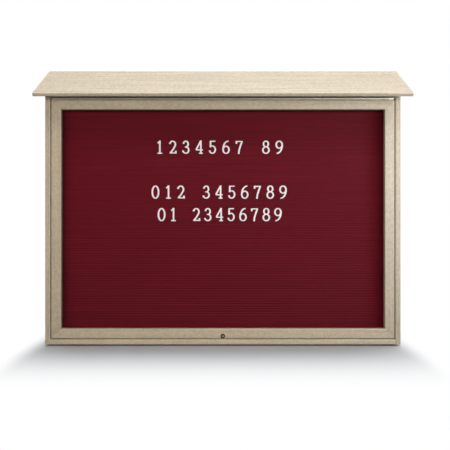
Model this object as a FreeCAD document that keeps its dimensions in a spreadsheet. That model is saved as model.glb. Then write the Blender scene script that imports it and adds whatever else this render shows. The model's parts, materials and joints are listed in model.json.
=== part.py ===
import FreeCAD, Part
import os
import Sketcher

# Lockable notice board for a wall, in millimetres and degrees.
# X runs to the right, -Y is the front, +Z is up. The origin is the centre of the four wall holes, on
# the back plane of the cabinet.

doc = FreeCAD.newDocument("NoticeBoard")
sizes = doc.addObject("Spreadsheet::Sheet", "Size")

DRIVING = {
    # Cabinet of plastic lumber boards
    "cabinet_width": 1320.8,
    "cabinet_depth": 114.3,
    "base_level": -480.0,
    "board": 19.05,
    "back_thick": 12.7,
    "edge_easing": 1.5,
    # Single slope roof
    "roof_thick": 12.7,
    "roof_slope": 32.5,
    "roof_reach": 88.9,
    "roof_side_reach": 19.05,
    "roof_front_height": 915.0,
    "cleat_drop": 45.0,
    # Wall holes
    "wall_hole_spread": 1266.8,
    "wall_hole_rise": 609.6,
    "wall_hole_radius": 4.25,
    # Flush door, hung from its top edge
    "door_gap": 3.2,
    "door_height": 887.75,
    "rail_width": 36.0,
    "pane_thick": 3.0,
    "pane_overlap": 12.0,
    "pane_play": 0.5,
    "retainer_thick": 5.5,
    "retainer_lip": 2.0,
    "retainer_wall": 5.85,
    "brace_leg": 80.0,
    "brace_width": 14.0,
    "brace_inset": 2.2,
    "sheet_metal": 1.5,
    # Continuous hinge
    "hinge_half_gap": 3.4,
    "leaf_thick": 1.2,
    "leaf_start": 4.0,
    "leaf_depth": 17.0,
    "knuckle_count": 93,
    "knuckle_pitch": 13.66,
    "knuckle_space": 0.3,
    "knuckle_flat": 2.95,
    "bore_flat": 1.25,
    "pin_radius": 1.2,
    "pin_end": 1.0,
    # Letter board and what holds it
    "letter_board_thick": 12.7,
    "letter_board_half": 625.5,
    "letter_board_depth": 60.0,
    "letter_board_play": 0.5,
    "groove_pitch": 6.35,
    "groove_count": 138,
    "groove_width": 1.6,
    "groove_depth": 3.2,
    "batten_width": 38.1,
    "batten_spread": 600.0,
    # Door stops and weather seals
    "stop_width": 12.0,
    "stop_thick": 10.0,
    "seal_thick": 3.0,
    "seal_space": 0.3,
    "side_stop_low": 120.0,
    "side_stop_high": 620.0,
    "bottom_stop_near": 60.0,
    "bottom_stop_far": 540.0,
    # Cam lock
    "lock_height": 31.75,
    "lock_flange_radius": 8.5,
    "lock_flange": 2.0,
    "lock_barrel_radius": 6.35,
    "lock_length": 25.4,
    "lock_bore": 4.8,
    "plug_radius": 4.75,
    "plug_recess": 0.3,
    "plug_back": 25.9,
    "keyway_width": 1.6,
    "keyway_height": 6.4,
    "keyway_depth": 4.0,
    "nut_flat": 8.0,
    "nut_thick": 3.5,
    "cam_thick": 2.0,
    "cam_hub": 6.0,
    "cam_reach": 12.0,
    "cam_half_width": 4.0,
    "cam_screw_radius": 2.0,
    "cam_screw_depth": 6.0,
    "cam_screw_flat": 3.5,
    "cam_screw_head_thick": 2.5,
    "strike_half": 30.0,
    "strike_front": 6.0,
    "strike_back": 24.9,
    "strike_height": 5.0,
    # Gas struts, one behind each side rail
    "strut_spread": 630.0,
    "anchor_in": 48.0,
    "anchor_down": 24.0,
    "stud_in": 32.0,
    "stud_down": 260.0,
    "stud_radius": 4.0,
    "stud_reach": 3.5,
    "bracket_plate": 2.0,
    "bracket_half_height": 20.0,
    "anchor_half_depth": 12.0,
    "bracket_foot": 16.15,
    "bracket_ear": 19.0,
    "open_pivot_space": 0.5,
    "cylinder_radius": 7.5,
    "cylinder_start": 14.0,
    "cylinder_end": 160.0,
    "rod_bore": 3.05,
    "rod_bore_end": 60.0,
    "neck_radius": 3.5,
    "neck_start": 6.0,
    "eye_bore": 4.05,
    "eye_half": 4.5,
    "rod_radius": 3.0,
    "rod_eye_radius": 6.0,
    "rod_eye_half": 3.5,
    "rod_inner_end": 80.0,
}

for row, (word, number_of_word) in enumerate(DRIVING.items(), 1):
    sizes.set(f"A{row}", word)
    sizes.set(f"B{row}", str(number_of_word))
    sizes.setAlias(f"B{row}", word)
doc.recompute()

# Places that several pieces share, as expressions on the sheet.
FRONT = "(0 - Size.cabinet_depth)"
HALF = "(Size.cabinet_width / 2)"
INNER = "(Size.cabinet_width / 2 - Size.board)"
FLOOR = "(Size.base_level + Size.board)"
BACK_PANEL = "(0 - Size.back_thick)"
DOOR_LOW = f"({FLOOR} + Size.door_gap)"
DOOR_HIGH = f"({DOOR_LOW} + Size.door_height)"
DOOR_HALF = f"({INNER} - Size.door_gap)"
DOOR_BACK = "(Size.board - Size.cabinet_depth)"
AXIS = f"({DOOR_HIGH} + Size.hinge_half_gap)"
HEADER = f"({AXIS} + Size.hinge_half_gap)"
HEADER_TOP = f"({HEADER} + Size.board)"
WINDOW_HALF = f"({DOOR_HALF} - Size.rail_width)"
WINDOW_LOW = f"({DOOR_LOW} + Size.rail_width)"
WINDOW_HIGH = f"({DOOR_HIGH} - Size.rail_width)"
LETTER_FACE = "(Size.letter_board_depth - Size.cabinet_depth)"
LETTER_BACK = f"({LETTER_FACE} + Size.letter_board_thick)"
LETTER_LOW = f"({FLOOR} + Size.letter_board_play)"
LETTER_HEIGHT = f"({HEADER} - {FLOOR} - 2 * Size.letter_board_play)"
SEAL_FRONT = f"({DOOR_BACK} + Size.seal_space)"
STOP_FRONT = f"({SEAL_FRONT} + Size.seal_thick)"
STOP_BACK = f"({STOP_FRONT} + Size.stop_thick)"
LOCK = "(Size.base_level + Size.lock_height)"
STRUT_RISE = "(Size.stud_down - Size.anchor_down)"
STRUT_LEAN = "(Size.anchor_in - Size.stud_in)"
STRUT_LENGTH = f"sqrt({STRUT_RISE} * {STRUT_RISE} + {STRUT_LEAN} * {STRUT_LEAN})"
SIDES = {"left": -1, "right": 1}
LONG_EDGE = 100.0


def roof_under(depth):
    """Height of the roof board's underside at a distance in Y."""
    run = f"({depth} + Size.cabinet_depth + Size.roof_reach)"
    start = "Size.base_level + Size.roof_front_height - Size.roof_thick / cos(Size.roof_slope)"
    return f"({start} + {run} * tan(Size.roof_slope))"


def number(expression):
    """Present value of an expression on the sheet."""
    result = sizes.evalExpression(expression)
    return float(getattr(result, "Value", result))


def new_body(label, base=None):
    """Empty body, with its own origin at base when the piece has one."""
    body = doc.addObject("PartDesign::Body", label)
    body.AllowCompound = True
    for letter, expression in zip("xyz", base or ()):
        body.setExpression(f"Placement.Base.{letter}", expression)
    return body


def origin_feature(body, role):
    """One of the planes or axes of the body's own origin."""
    return next(item for item in body.Origin.OriginFeatures if item.Role == role)


def new_sketch(body, plane, offset="0"):
    """Sketch on one of the body's own planes, moved along the plane's normal by offset."""
    sketch = body.newObject("Sketcher::SketchObject", f"{body.Name}_sketch")
    sketch.AttachmentSupport = (origin_feature(body, plane), [""])
    sketch.MapMode = "FlatFace"
    sketch.setExpression("AttachmentOffset.Base.z", offset)
    return sketch


def hold(sketch, constraint, expression):
    """Add a constraint whose value follows an expression on the sheet."""
    index = sketch.addConstraint(constraint)
    sketch.setExpression(f"Constraints[{index}]", expression)


def hold_point(sketch, geometry, point, across, along):
    """Hold one point of a line or circle at two distances from the sketch's origin."""
    for kind, expression in (("DistanceX", across), ("DistanceY", along)):
        distance = number(expression)
        hold(sketch, Sketcher.Constraint(kind, -1, 1, geometry, point, distance), expression)


def polygon(sketch, corners):
    """Closed outline of straight lines through corners that follow the sheet."""
    start = sketch.GeometryCount
    count = len(corners)
    points = [FreeCAD.Vector(number(across), number(along), 0) for across, along in corners]
    for index in range(count):
        sketch.addGeometry(Part.LineSegment(points[index], points[(index + 1) % count]), False)
    for index in range(count):
        following = start + (index + 1) % count
        sketch.addConstraint(Sketcher.Constraint("Coincident", start + index, 2, following, 1))
    for index, (across, along) in enumerate(corners):
        hold_point(sketch, start + index, 1, across, along)


def corners_of(across, along, far_across, far_along):
    """Four corners of a rectangle between two opposite ones."""
    return [(across, along), (far_across, along), (far_across, far_along), (across, far_along)]


def regular_polygon(sketch, sides, flat):
    """Polygon of equal sides about the sketch's origin, flat being its middle to each side."""
    corners = []
    for index in range(sides):
        turn = 360.0 * (index + 0.5) / sides - 90.0
        reach = f"{flat} / cos({180.0 / sides})"
        corners.append((f"{reach} * cos({turn})", f"{reach} * sin({turn})"))
    polygon(sketch, corners)


def circle(sketch, across, along, radius):
    """Circle held at its centre, with its radius on the sheet."""
    centre = FreeCAD.Vector(number(across), number(along), 0)
    round_line = Part.Circle(centre, FreeCAD.Vector(0, 0, 1), number(radius))
    geometry = sketch.addGeometry(round_line, False)
    hold_point(sketch, geometry, 3, across, along)
    hold(sketch, Sketcher.Constraint("Radius", geometry, number(radius)), radius)


def pad(sketch, length):
    """Solid from a sketch, along the sketch's normal."""
    body = sketch.getParentGeoFeatureGroup()
    feature = body.newObject("PartDesign::Pad", f"{body.Name}_pad")
    feature.Profile = sketch
    feature.setExpression("Length", length)
    return feature


def pocket(sketch, length):
    """Cut from a sketch to both sides of it, length in all."""
    body = sketch.getParentGeoFeatureGroup()
    feature = body.newObject("PartDesign::Pocket", f"{body.Name}_pocket")
    feature.Profile = sketch
    feature.Midplane = True
    feature.setExpression("Length", length)
    return feature


def repeat(body, features, axis, length, count):
    """Row of copies of some features along one of the body's own axes."""
    pattern = body.newObject("PartDesign::LinearPattern", f"{body.Name}_row")
    pattern.Originals = features
    pattern.Direction = (origin_feature(body, axis), [""])
    pattern.setExpression("Length", length)
    pattern.setExpression("Occurrences", count)
    body.Tip = pattern


def ease_edges(body, is_chosen):
    """Ease the chosen edges of a plastic board."""
    doc.recompute()
    base = body.Tip
    names = [f"Edge{index}" for index, edge in enumerate(base.Shape.Edges, 1) if is_chosen(edge)]
    easing = body.newObject("PartDesign::Chamfer", f"{body.Name}_easing")
    easing.Base = (base, names)
    easing.setExpression("Size", "Size.edge_easing")


def on_front(edge):
    """True for a long edge in the front plane of the cabinet and door."""
    front = number(FRONT)
    return edge.Length > LONG_EDGE and all(abs(end.Y - front) < 0.01 for end in edge.Vertexes)


def bar_along_x(label, section, length):
    """Bar of one section in Y and Z, centred on the middle plane."""
    body = new_body(label)
    sketch = new_sketch(body, "YZ_Plane", f"0 - {length} / 2")
    polygon(sketch, section)
    pad(sketch, length)
    return body


def bar_along_z(label, section, low, height):
    """Bar of one section in X and Y, standing on the level low."""
    body = new_body(label)
    sketch = new_sketch(body, "XY_Plane", low)
    polygon(sketch, section)
    pad(sketch, height)
    return body


def plate(label, outline, back, thick):
    """Plate with an outline in X and Z, from its rear face at back towards the front."""
    body = new_body(label)
    sketch = new_sketch(body, "XZ_Plane", f"0 - {back}")
    polygon(sketch, outline)
    pad(sketch, thick)
    return body


def slab(body, side, near, far):
    """Sketch across X for a slab between two distances from the middle, and the slab's thickness."""
    low = near if side > 0 else f"0 - {far}"
    return new_sketch(body, "YZ_Plane", low), f"{far} - {near}"


def turn(sketch, axis):
    """Solid turned about one of the body's own axes from half a section."""
    body = sketch.getParentGeoFeatureGroup()
    feature = body.newObject("PartDesign::Revolution", f"{body.Name}_turning")
    feature.Profile = sketch
    feature.ReferenceAxis = (origin_feature(body, axis), [""])
    feature.Angle = 360.0


def side_board(label, side):
    """Upright board with its top cut to the roof slope."""
    body = new_body(label)
    sketch, thick = slab(body, side, INNER, HALF)
    polygon(sketch, [
        (FRONT, "Size.base_level"),
        ("0", "Size.base_level"),
        ("0", roof_under("0")),
        (FRONT, roof_under(FRONT)),
    ])
    pad(sketch, thick)
    ease_edges(body, on_front)


def cross_board(label, low, high, back):
    """Board between the side boards."""
    body = bar_along_x(label, corners_of(FRONT, low, back, high), f"(2 * {INNER})")
    ease_edges(body, on_front)


def cabinet():
    """Boards, roof cleats and back panel."""
    for name, side in SIDES.items():
        side_board(f"{name}_side_board", side)
    cross_board("bottom_board", "Size.base_level", FLOOR, "0")
    cross_board("top_board", HEADER, HEADER_TOP, BACK_PANEL)
    inner_width = f"(2 * {INNER})"
    front_cleat_back = f"({FRONT} + Size.board)"
    bar_along_x("front_roof_cleat", [
        (FRONT, HEADER_TOP),
        (front_cleat_back, HEADER_TOP),
        (front_cleat_back, roof_under(front_cleat_back)),
        (FRONT, roof_under(FRONT)),
    ], inner_width)
    rear_cleat_front = f"({BACK_PANEL} - Size.board)"
    bar_along_x("rear_roof_cleat", [
        (rear_cleat_front, f"({roof_under(rear_cleat_front)} - Size.cleat_drop)"),
        (BACK_PANEL, f"({roof_under(rear_cleat_front)} - Size.cleat_drop)"),
        (BACK_PANEL, roof_under(BACK_PANEL)),
        (rear_cleat_front, roof_under(rear_cleat_front)),
    ], inner_width)
    back = bar_along_x("back_panel", [
        (BACK_PANEL, FLOOR),
        ("0", FLOOR),
        ("0", roof_under("0")),
        (BACK_PANEL, roof_under(BACK_PANEL)),
    ], inner_width)
    holes = new_sketch(back, "XZ_Plane")
    for across in ("Size.wall_hole_spread / 2", "0 - Size.wall_hole_spread / 2"):
        for along in ("Size.wall_hole_rise / 2", "0 - Size.wall_hole_rise / 2"):
            circle(holes, across, along, "Size.wall_hole_radius")
    pocket(holes, "4 * Size.back_thick")


def roof_board():
    """Sloping board with a square-cut front edge, cut plumb where it meets the wall."""
    lip = "(0 - Size.cabinet_depth - Size.roof_reach)"
    lip_under = f"({lip} + Size.roof_thick * sin(Size.roof_slope))"
    plumb = "Size.roof_thick / cos(Size.roof_slope)"
    board = bar_along_x("roof_board", [
        (lip_under, roof_under(lip_under)),
        ("0", roof_under("0")),
        ("0", f"{roof_under('0')} + {plumb}"),
        (lip, f"{roof_under(lip)} + {plumb}"),
    ], "(Size.cabinet_width + 2 * Size.roof_side_reach)")
    front = number(FRONT)
    ease_edges(board, lambda edge: edge.Length > LONG_EDGE and edge.BoundBox.YMax < front)


def letter_board():
    """Board with slots across its face that grip the letters, on three upright battens."""
    width = "(2 * Size.letter_board_half)"
    high = f"({LETTER_LOW} + {LETTER_HEIGHT})"
    board = bar_along_x("letter_board", corners_of(LETTER_FACE, LETTER_LOW, LETTER_BACK, high), width)
    rows = "((Size.groove_count - 1) * Size.groove_pitch)"
    first = f"({LETTER_LOW} + ({LETTER_HEIGHT} - {rows} - Size.groove_width) / 2)"
    slot = new_sketch(board, "YZ_Plane")
    open_side = f"({LETTER_FACE} - 1)"
    floor = f"({LETTER_FACE} + Size.groove_depth)"
    polygon(slot, corners_of(open_side, first, floor, f"{first} + Size.groove_width"))
    cut = pocket(slot, f"{width} + 2")
    repeat(board, [cut], "Z_Axis", rows, "Size.groove_count")
    for name, place in {"left": -1, "centre": 0, "right": 1}.items():
        middle = f"{place} * Size.batten_spread"
        section = corners_of(
            f"{middle} - Size.batten_width / 2", LETTER_BACK,
            f"{middle} + Size.batten_width / 2", BACK_PANEL,
        )
        bar_along_z(f"{name}_batten", section, LETTER_LOW, LETTER_HEIGHT)


def stops_and_seals():
    """Stops behind the door's edges, each with a soft seal on its face."""
    low = "(Size.base_level + Size.side_stop_low)"
    height = "(Size.side_stop_high - Size.side_stop_low)"
    for name, side in SIDES.items():
        near = f"{side} * ({INNER} - Size.stop_width)"
        far = f"{side} * {INNER}"
        bar_along_z(f"{name}_door_stop", corners_of(near, STOP_FRONT, far, STOP_BACK), low, height)
        bar_along_z(f"{name}_seal", corners_of(near, SEAL_FRONT, far, STOP_FRONT), low, height)
    top = f"({FLOOR} + Size.stop_width)"
    for label, front, back in (
        ("bottom_door_stops", STOP_FRONT, STOP_BACK),
        ("bottom_seals", SEAL_FRONT, STOP_FRONT),
    ):
        body = new_body(label)
        for side in SIDES.values():
            sketch, length = slab(body, side, "Size.bottom_stop_near", "Size.bottom_stop_far")
            polygon(sketch, corners_of(front, FLOOR, back, top))
            pad(sketch, length)


def hinge_leaf(label, side, first, count):
    """Leaf of the continuous hinge, above the axis or below it, with every second knuckle.

    The body's own origin is on the hinge axis. Each knuckle is a folded eight-sided tube whose strip
    runs on into the flat leaf, and the other leaf's knuckles fill the spaces between.
    """
    body = new_body(label, ("0", FRONT, AXIS))
    inner = f"{side} * (Size.hinge_half_gap - Size.leaf_thick)"
    outer = f"{side} * Size.hinge_half_gap"
    barrel = "(Size.knuckle_count * Size.knuckle_pitch)"
    strip = new_sketch(body, "YZ_Plane", f"0 - {barrel} / 2")
    polygon(strip, corners_of("Size.leaf_start", inner, "Size.leaf_depth", outer))
    pad(strip, barrel)
    start = f"{first} * Size.knuckle_pitch + Size.knuckle_space / 2 - {barrel} / 2"
    length = "Size.knuckle_pitch - Size.knuckle_space"
    wide = "Size.knuckle_flat"
    narrow = "Size.knuckle_flat * tan(22.5)"
    joint = f"{wide} + {narrow} - (Size.hinge_half_gap - Size.leaf_thick)"
    around = [
        ("Size.leaf_start", outer), (narrow, f"{side} * {wide}"), (f"0 - {narrow}", f"{side} * {wide}"),
        (f"0 - {wide}", f"{side} * {narrow}"), (f"0 - {wide}", f"{-side} * {narrow}"),
        (f"0 - {narrow}", f"{-side} * {wide}"), (narrow, f"{-side} * {wide}"),
        (wide, f"{-side} * {narrow}"), (wide, f"{side} * {narrow}"), (joint, inner),
        ("Size.leaf_start", inner),
    ]
    tube = new_sketch(body, "YZ_Plane", start)
    polygon(tube, around)
    regular_polygon(tube, 6, "Size.bore_flat")
    row = f"{count - 1} * 2 * Size.knuckle_pitch"
    repeat(body, [pad(tube, length)], "X_Axis", row, f"{count}")


def hinge():
    """Two leaves and the pin that runs the whole width."""
    knuckles = int(number("Size.knuckle_count"))
    hinge_leaf("fixed_hinge_leaf", 1, 0, (knuckles + 1) // 2)
    hinge_leaf("door_hinge_leaf", -1, 1, knuckles // 2)
    pin = new_body("hinge_pin", ("0", FRONT, AXIS))
    half = "(Size.knuckle_count * Size.knuckle_pitch / 2 + Size.pin_end)"
    sketch = new_sketch(pin, "YZ_Plane", f"0 - {half}")
    circle(sketch, "0", "0", "Size.pin_radius")
    pad(sketch, f"2 * {half}")


def door_rails():
    """Four rails with mitred corners; the bottom one is bored for the lock."""
    far_x, near_x = DOOR_HALF, WINDOW_HALF
    corners = [(x, z) for x in (-1, 1) for z in (-1, 1)]
    outer = {(x, z): (f"{x} * {far_x}", DOOR_HIGH if z > 0 else DOOR_LOW) for x, z in corners}
    inner = {(x, z): (f"{x} * {near_x}", WINDOW_HIGH if z > 0 else WINDOW_LOW) for x, z in corners}
    ends = {
        "top_rail": ((-1, 1), (1, 1)),
        "bottom_rail": ((-1, -1), (1, -1)),
        "left_rail": ((-1, -1), (-1, 1)),
        "right_rail": ((1, -1), (1, 1)),
    }
    for label, (one, other) in ends.items():
        outline = [outer[one], outer[other], inner[other], inner[one]]
        rail = plate(label, outline, DOOR_BACK, "Size.board")
        ease_edges(rail, on_front)
        if label == "bottom_rail":
            bore = new_sketch(rail, "XZ_Plane", f"0 - {DOOR_BACK}")
            circle(bore, "0", LOCK, "Size.lock_barrel_radius")
            pocket(bore, "4 * Size.board")


def window():
    """Clear pane on the back of the rails, clamped by four rabbeted strips."""
    pane_half = f"({WINDOW_HALF} + Size.pane_overlap)"
    pane_low = f"({WINDOW_LOW} - Size.pane_overlap)"
    pane_high = f"({WINDOW_HIGH} + Size.pane_overlap)"
    pane_back = f"({DOOR_BACK} + Size.pane_thick)"
    outline = corners_of(f"0 - {pane_half}", pane_low, pane_half, pane_high)
    plate("window_pane", outline, pane_back, "Size.pane_thick")
    strip_back = f"({DOOR_BACK} + Size.retainer_thick)"
    lip = "Size.retainer_lip"
    groove = "Size.pane_overlap + Size.pane_play"
    wall = "Size.pane_overlap + Size.retainer_wall"

    def section(edge, outward):
        """Rabbeted section as pairs of a distance across the strip and a depth."""
        return [
            (f"{edge} + {outward} * ({lip})", pane_back),
            (f"{edge} + {outward} * ({lip})", strip_back),
            (f"{edge} + {outward} * ({wall})", strip_back),
            (f"{edge} + {outward} * ({wall})", DOOR_BACK),
            (f"{edge} + {outward} * ({groove})", DOOR_BACK),
            (f"{edge} + {outward} * ({groove})", pane_back),
        ]

    for name, side in SIDES.items():
        low = f"({WINDOW_LOW} - ({wall}))"
        height = f"({WINDOW_HIGH} - {WINDOW_LOW} + 2 * ({wall}))"
        bar_along_z(f"{name}_retainer", section(f"{side} * {WINDOW_HALF}", side), low, height)
    for label, edge, outward in (("top_retainer", WINDOW_HIGH, 1), ("bottom_retainer", WINDOW_LOW, -1)):
        turned_section = [(depth, level) for level, depth in section(edge, outward)]
        bar_along_x(label, turned_section, f"(2 * ({WINDOW_HALF} + {lip}))")


def corner_braces():
    """Flat steel angles screwed over the mitres on the back of the door."""
    for name, side in SIDES.items():
        for level_name, edge, inward in (("top", DOOR_HIGH, -1), ("bottom", DOOR_LOW, 1)):
            x_out = f"{side} * ({DOOR_HALF} - Size.brace_inset)"
            x_in = f"{side} * ({DOOR_HALF} - Size.brace_inset - Size.brace_width)"
            x_end = f"{side} * ({DOOR_HALF} - Size.brace_inset - Size.brace_leg)"
            z_out = f"{edge} + {inward} * Size.brace_inset"
            z_in = f"{edge} + {inward} * (Size.brace_inset + Size.brace_width)"
            z_end = f"{edge} + {inward} * (Size.brace_inset + Size.brace_leg)"
            outline = [
                (x_out, z_out), (x_end, z_out), (x_end, z_in),
                (x_in, z_in), (x_in, z_end), (x_out, z_end),
            ]
            back = f"({DOOR_BACK} + Size.sheet_metal)"
            plate(f"{level_name}_{name}_corner_brace", outline, back, "Size.sheet_metal")


def cam_lock():
    """Housing and nut on the door, and the plug, cam and screw that turn in it.

    The bodies' own origin is where the lock's axis meets the door's front face. The cam points to
    the right when the lock is open, and a quarter turn brings it down behind the strike angle.
    """
    base = ("0", FRONT, LOCK)
    face = "0 - Size.lock_flange"
    housing = new_sketch(new_body("lock_housing", base), "XY_Plane")
    polygon(housing, [
        ("Size.lock_bore", face),
        ("Size.lock_flange_radius", face),
        ("Size.lock_flange_radius", "0"),
        ("Size.lock_barrel_radius", "0"),
        ("Size.lock_barrel_radius", "Size.lock_length"),
        ("Size.lock_bore", "Size.lock_length"),
    ])
    turn(housing, "Y_Axis")
    nut = new_body("lock_nut", base)
    nut_sketch = new_sketch(nut, "XZ_Plane", "0 - (Size.board + Size.nut_thick)")
    regular_polygon(nut_sketch, 6, "Size.nut_flat")
    circle(nut_sketch, "0", "0", "Size.lock_barrel_radius")
    pad(nut_sketch, "Size.nut_thick")
    plug_face = f"{face} + Size.plug_recess"
    plug = new_body("lock_plug", base)
    core = new_sketch(plug, "XY_Plane")
    polygon(core, [
        ("0", plug_face),
        ("Size.plug_radius", plug_face),
        ("Size.plug_radius", "Size.plug_back"),
        ("Size.cam_screw_radius", "Size.plug_back"),
        ("Size.cam_screw_radius", "Size.plug_back - Size.cam_screw_depth"),
        ("0", "Size.plug_back - Size.cam_screw_depth"),
    ])
    turn(core, "Y_Axis")
    keyway = new_sketch(plug, "XZ_Plane", f"0 - ({plug_face})")
    half_width, half_height = "Size.keyway_width / 2", "Size.keyway_height / 2"
    polygon(keyway, corners_of(f"0 - {half_width}", f"0 - {half_height}", half_width, half_height))
    pocket(keyway, "2 * Size.keyway_depth")
    cam = new_body("lock_cam", base)
    cam_offset = "0 - (Size.plug_back + Size.cam_thick)"
    blade = new_sketch(cam, "XZ_Plane", cam_offset)
    hub, hub_corner = "Size.cam_hub", "Size.cam_hub * tan(22.5)"
    tip, tip_corner = "Size.cam_reach", "(Size.cam_reach - Size.cam_half_width * tan(22.5))"
    half, half_corner = "Size.cam_half_width", "Size.cam_half_width * tan(22.5)"
    upper = [
        (f"0 - {hub}", hub_corner), (f"0 - {hub_corner}", hub), (hub_corner, hub),
        (hub, half), (tip_corner, half), (tip, half_corner),
    ]
    polygon(blade, upper + [(across, f"0 - {along}") for across, along in reversed(upper)])
    circle(blade, "0", "0", "Size.cam_screw_radius")
    pad(blade, "Size.cam_thick")
    screw = new_body("cam_screw", base)
    shank = new_sketch(screw, "XZ_Plane", cam_offset)
    circle(shank, "0", "0", "Size.cam_screw_radius")
    pad(shank, "Size.cam_thick + Size.cam_screw_depth")
    head = new_sketch(screw, "XZ_Plane", f"{cam_offset} - Size.cam_screw_head_thick")
    regular_polygon(head, 6, "Size.cam_screw_flat")
    pad(head, "Size.cam_screw_head_thick")


def strike_angle():
    """Steel angle under the door, with the lip that the cam turns down behind."""
    foot_front = f"({FRONT} + Size.strike_front)"
    lip_back = f"({FRONT} + Size.strike_back)"
    lip_front = f"({lip_back} - Size.sheet_metal)"
    bar_along_x("strike_angle", [
        (foot_front, FLOOR),
        (lip_back, FLOOR),
        (lip_back, f"{FLOOR} + Size.strike_height"),
        (lip_front, f"{FLOOR} + Size.strike_height"),
        (lip_front, f"{FLOOR} + Size.sheet_metal"),
        (foot_front, f"{FLOOR} + Size.sheet_metal"),
    ], "(2 * Size.strike_half)")


def strut_frame(label, side):
    """Body whose own origin is the strut's upper pivot, with -Z along the strut."""
    base = (f"{side} * Size.strut_spread", f"{FRONT} + Size.anchor_in", f"{AXIS} - Size.anchor_down")
    body = new_body(label, base)
    lean = f"atan2({STRUT_LEAN}; {STRUT_RISE})"
    body.Placement.Rotation = FreeCAD.Rotation(FreeCAD.Vector(-1, 0, 0), number(lean))
    body.setExpression("Placement.Rotation.Angle", lean)
    return body


def spindle(body, profile):
    """Turned part of a strut, as distances from its line and along it from the upper pivot."""
    sketch = new_sketch(body, "XZ_Plane")
    polygon(sketch, [(radius, f"0 - ({along})") for radius, along in profile])
    turn(sketch, "Z_Axis")


def eye(body, along, radius, half_width):
    """Round end across the strut's line."""
    sketch = new_sketch(body, "YZ_Plane", f"0 - {half_width}")
    circle(sketch, "0", f"0 - ({along})", radius)
    pad(sketch, f"2 * {half_width}")


def gas_strut(name, side):
    """Cylinder on the cabinet's stud, and the rod that slides out of it."""
    cylinder = strut_frame(f"{name}_strut_cylinder", side)
    spindle(cylinder, [
        ("0", "Size.neck_start"),
        ("Size.neck_radius", "Size.neck_start"),
        ("Size.cylinder_radius", "Size.cylinder_start"),
        ("Size.cylinder_radius", "Size.cylinder_end"),
        ("Size.rod_bore", "Size.cylinder_end"),
        ("Size.rod_bore", "Size.rod_bore_end"),
        ("0", "Size.rod_bore_end"),
    ])
    eye(cylinder, "0", "Size.cylinder_radius", "Size.eye_half")
    bore = new_sketch(cylinder, "YZ_Plane")
    circle(bore, "0", "0", "Size.eye_bore")
    pocket(bore, "4 * Size.eye_half")
    rod = strut_frame(f"{name}_strut_rod", side)
    spindle(rod, [
        ("0", "Size.rod_inner_end"),
        ("Size.rod_radius", "Size.rod_inner_end"),
        ("Size.rod_radius", STRUT_LENGTH),
        ("0", STRUT_LENGTH),
    ])
    eye(rod, STRUT_LENGTH, "Size.rod_eye_radius", "Size.rod_eye_half")


def strut_mounts(name, side):
    """Plate and stud on the side board, and the angle with its stud on the door."""
    anchor = new_body(f"{name}_strut_anchor")
    middle = f"({FRONT} + Size.anchor_in)"
    level = f"({AXIS} - Size.anchor_down)"
    sketch, thick = slab(anchor, side, f"({INNER} - Size.bracket_plate)", INNER)
    polygon(sketch, corners_of(
        f"{middle} - Size.anchor_half_depth", f"{level} - Size.bracket_half_height",
        f"{middle} + Size.anchor_half_depth", f"{level} + Size.bracket_half_height",
    ))
    pad(sketch, thick)
    stud_end = "(Size.strut_spread - Size.stud_reach)"
    stud, length = slab(anchor, side, stud_end, f"({INNER} - Size.bracket_plate)")
    circle(stud, middle, level, "Size.stud_radius")
    pad(stud, length)
    bracket = new_body(f"{name}_strut_bracket")
    middle = f"({FRONT} + Size.stud_in)"
    level = f"({AXIS} - Size.stud_down)"
    low = f"{level} - Size.bracket_half_height"
    high = f"{level} + Size.bracket_half_height"
    foot, width = slab(bracket, side, f"({DOOR_HALF} - Size.bracket_foot)", DOOR_HALF)
    polygon(foot, corners_of(DOOR_BACK, low, f"{DOOR_BACK} + Size.bracket_plate", high))
    pad(foot, width)
    ear_face = f"({DOOR_HALF} - Size.bracket_plate)"
    ear, thick = slab(bracket, side, ear_face, DOOR_HALF)
    ear_back = f"{DOOR_BACK} + Size.bracket_ear"
    shoulder = f"{DOOR_BACK} + Size.bracket_ear / 2"
    polygon(ear, [
        (DOOR_BACK, low), (shoulder, low), (ear_back, f"{low} + Size.bracket_ear / 2"),
        (ear_back, f"{high} - Size.bracket_ear / 2"), (shoulder, high), (DOOR_BACK, high),
    ])
    pad(ear, thick)
    neck_near = "(Size.strut_spread + Size.rod_eye_half + Size.open_pivot_space)"
    neck, length = slab(bracket, side, neck_near, ear_face)
    circle(neck, middle, level, "Size.stud_radius")
    pad(neck, length)


def check_objects():
    """Stop before anything is written when an object failed or a piece is not a sound solid."""
    for item in doc.Objects:
        if {"Invalid", "Error"} & set(item.State):
            raise RuntimeError(f"{item.Label} failed: {item.State}")
    for piece in pieces():
        if piece.Shape.isNull() or not piece.Shape.isValid() or not piece.Shape.Solids:
            raise RuntimeError(f"{piece.Label} is not a valid solid")


def pieces():
    """Every sub-part of the object."""
    return [item for item in doc.Objects if item.isDerivedFrom("PartDesign::Body")]


cabinet()
roof_board()
letter_board()
stops_and_seals()
hinge()
door_rails()
window()
corner_braces()
cam_lock()
strike_angle()
for strut_name, strut_side in SIDES.items():
    gas_strut(strut_name, strut_side)
    strut_mounts(strut_name, strut_side)
doc.recompute()
check_objects()

os.makedirs("parts", exist_ok=True)
for piece in pieces():
    piece.Shape.exportStep(f"parts/{piece.Label}.step")

closed = number(STRUT_LENGTH)
print(f"{len(pieces())} pieces, strut {closed:.2f} mm between pivots at rest")
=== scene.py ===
import json
import math
from collections import Counter

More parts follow.
